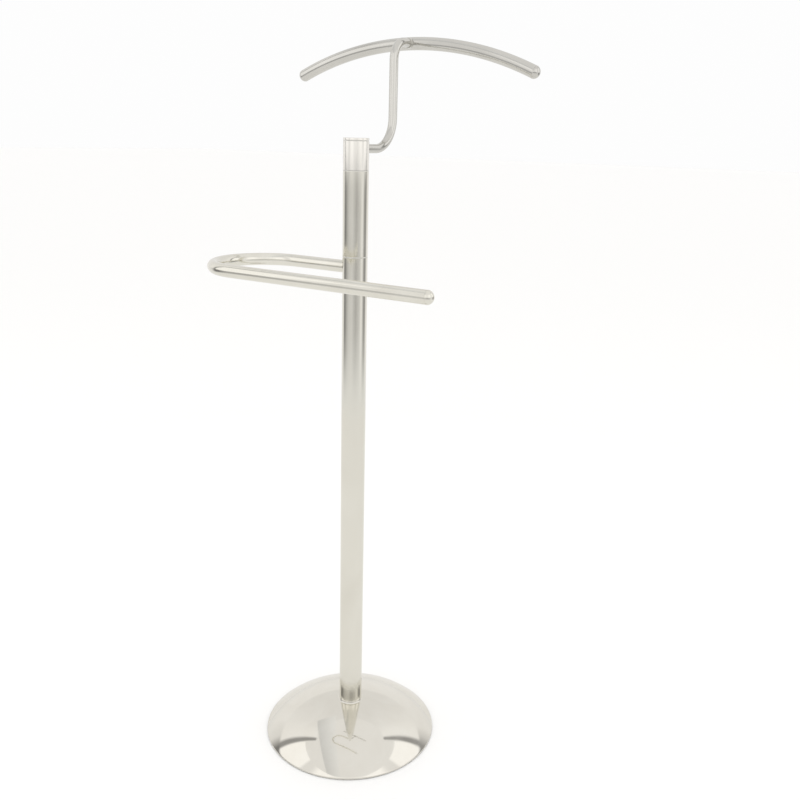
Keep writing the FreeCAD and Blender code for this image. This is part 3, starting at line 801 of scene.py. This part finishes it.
def make_wall():
    """The room round the stand, as polished metal shows it: white paper, gaps and soft panels."""
    steps = 180
    vertices = []
    faces = []
    for step in range(steps):
        degrees = 360 * step / steps - 180
        across = WALL_RADIUS * math.cos(math.radians(degrees))
        over = WALL_RADIUS * math.sin(math.radians(degrees))
        vertices += [(across, over, 0.0), (across, over, wall_top(degrees))]
        low = 2 * step
        after = (low + 2) % (2 * steps)
        faces.append((low, after, after + 1, low + 1))
    wall = new_mesh("studio_wall", vertices, faces)
    wall.rotation_euler = (0, 0, TOWARDS_CAMERA)
    only_reflected(wall)
    material, tree, glow = glowing("wall_tones", BRIGHTEST)
    place = tree.add("ShaderNodeTexCoord")
    around = tree.add("ShaderNodeTexGradient", gradient_type="RADIAL")
    split = tree.add("ShaderNodeSeparateXYZ")
    tree.link(place.outputs["Object"], around.inputs["Vector"])
    tree.link(place.outputs["Object"], split.inputs["Vector"])
    low_tones = tree.add("ShaderNodeValToRGB")
    fill_ramp(low_tones, [(0.5 + angle / 360, grey / BRIGHTEST) for angle, grey in LOW_TONES])
    tree.link(around.outputs["Fac"], low_tones.inputs["Fac"])
    high_tones = tree.add("ShaderNodeValToRGB")
    fill_ramp(high_tones, [(angle / 180, grey / BRIGHTEST) for angle, grey in HIGH_TONES])
    aside = tree.maths("ABSOLUTE", tree.maths("SUBTRACT", around.outputs["Fac"], 0.5))
    tree.link(tree.maths("MULTIPLY", aside, 2.0), high_tones.inputs["Fac"])
    blend = tree.add("ShaderNodeMix", data_type="RGBA")
    tree.link(tree.spread(split.outputs["Z"], 0.0, 1.0, HIGH_START, HIGH_END, smooth=True),
              blend.inputs["Factor"])
    tree.link(low_tones.outputs["Color"], blend.inputs["A"])
    tree.link(high_tones.outputs["Color"], blend.inputs["B"])
    skirting = tree.add("ShaderNodeMix", data_type="RGBA")
    skirting.inputs["A"].default_value = SKIRTING
    tree.link(tree.spread(split.outputs["Z"], 0.0, 1.0, 0.0, SKIRTING_TOP, smooth=True),
              skirting.inputs["Factor"])
    tree.link(blend.outputs["Result"], skirting.inputs["B"])
    tree.link(skirting.outputs["Result"], glow.inputs["Color"])
    wall.data.materials.append(material)


def ceiling_place(towards, right, height):
    """A point of the ceiling, given along and across the camera's line of sight."""
    along = Vector((math.cos(TOWARDS_CAMERA), math.sin(TOWARDS_CAMERA), 0))
    across = Vector((-along.y, along.x, 0))
    return along * towards + across * right + Vector((0, 0, height))


def make_ceiling():
    """A strip of the ceiling left of the stand, grey at its far edge and fading into the rest."""
    corners = [(STRIP_BACK, STRIP_LEFT, STRIP_HEIGHT), (STRIP_FRONT, STRIP_LEFT, STRIP_HEIGHT),
               (STRIP_FRONT, STRIP_RIGHT, STRIP_HEIGHT), (STRIP_BACK, STRIP_RIGHT, STRIP_HEIGHT)]
    card = new_mesh("studio_ceiling_strip", corners, [(0, 1, 2, 3)])
    card.rotation_euler = (0, 0, TOWARDS_CAMERA)
    only_reflected(card)
    material, tree, glow = glowing("ceiling_strip", 1.0)
    split = tree.add("ShaderNodeSeparateXYZ")
    tree.link(tree.add("ShaderNodeTexCoord").outputs["Object"], split.inputs["Vector"])
    fade = tree.spread(split.outputs["Y"], STRIP_SHADE, CEILING, STRIP_LEFT, STRIP_RIGHT)
    tree.link(fade, glow.inputs["Strength"])
    card.data.materials.append(material)


def make_world():
    """White light on the floor, toned light in the metal; the camera itself sees plain paper."""
    world = bpy.data.worlds.new("studio")
    bpy.context.scene.world = world
    world.use_nodes = True
    tree = Tree(world.node_tree)
    paper = world.node_tree.nodes["Background"]
    paper.inputs["Color"].default_value = (PAPER, PAPER, PAPER, 1)
    fill = tree.add("ShaderNodeBackground")
    fill.inputs["Color"].default_value = (1, 1, 1, 1)
    fill.inputs["Strength"].default_value = FILL
    toned = tree.add("ShaderNodeBackground")
    toned.inputs["Color"].default_value = warm(CEILING)
    ray = tree.add("ShaderNodeLightPath")
    in_metal = tree.add("ShaderNodeMixShader")
    seen = tree.add("ShaderNodeMixShader")
    tree.link(ray.outputs["Is Glossy Ray"], in_metal.inputs["Fac"])
    tree.link(fill.outputs["Background"], in_metal.inputs[1])
    tree.link(toned.outputs["Background"], in_metal.inputs[2])
    tree.link(ray.outputs["Is Camera Ray"], seen.inputs["Fac"])
    tree.link(in_metal.outputs["Shader"], seen.inputs[1])
    tree.link(paper.outputs["Background"], seen.inputs[2])
    tree.link(seen.outputs["Shader"], world.node_tree.nodes["World Output"].inputs["Surface"])


def make_lamp(name, towards, right):
    """A soft panel that hangs high up and faces the base, and that the metal doesn't show."""
    width, height = LAMP_SIZE
    light = bpy.data.lights.new(name, "AREA")
    light.shape = "RECTANGLE"
    light.size = width
    light.size_y = height
    light.energy = LAMP_GLOW * math.pi * width * height
    light.color = LAMP_COLOUR
    place = ceiling_place(towards, right, LAMP_HEIGHT)
    holder = bpy.data.objects.new(name, light)
    holder.location = place
    holder.rotation_euler = (-place).to_track_quat("-Z", "Y").to_euler()
    holder.visible_glossy = False
    bpy.context.scene.collection.objects.link(holder)


def make_camera():
    """The viewpoint: to the right of the front, level with the column's top."""
    place = (0.7958, -1.1465, 1.0475)
    camera = bpy.data.cameras.new("camera")
    camera.sensor_width = 36.0
    camera.lens = 39.6
    yaw = math.radians(-31.61)
    pitch = math.radians(16.71)
    roll = math.radians(1.50)
    forward = Vector((math.sin(yaw) * math.cos(pitch), math.cos(yaw) * math.cos(pitch),
                      -math.sin(pitch)))
    level = Vector((math.cos(yaw), -math.sin(yaw), 0))
    upright = level.cross(forward)
    right = level * math.cos(roll) + upright * math.sin(roll)
    up = upright * math.cos(roll) - level * math.sin(roll)
    holder = bpy.data.objects.new("camera", camera)
    turn = Matrix((right, up, -forward)).transposed().to_4x4()
    holder.matrix_world = Matrix.Translation(place) @ turn
    bpy.context.scene.collection.objects.link(holder)
    bpy.context.scene.camera = holder


make_camera()
make_pieces()
make_floor()
make_world()
make_wall()
make_ceiling()
make_lamp("panel_left", -0.05, -2.7)
make_lamp("panel_right", -0.2, 3.0)
bpy.context.scene.view_settings.view_transform = "Standard"
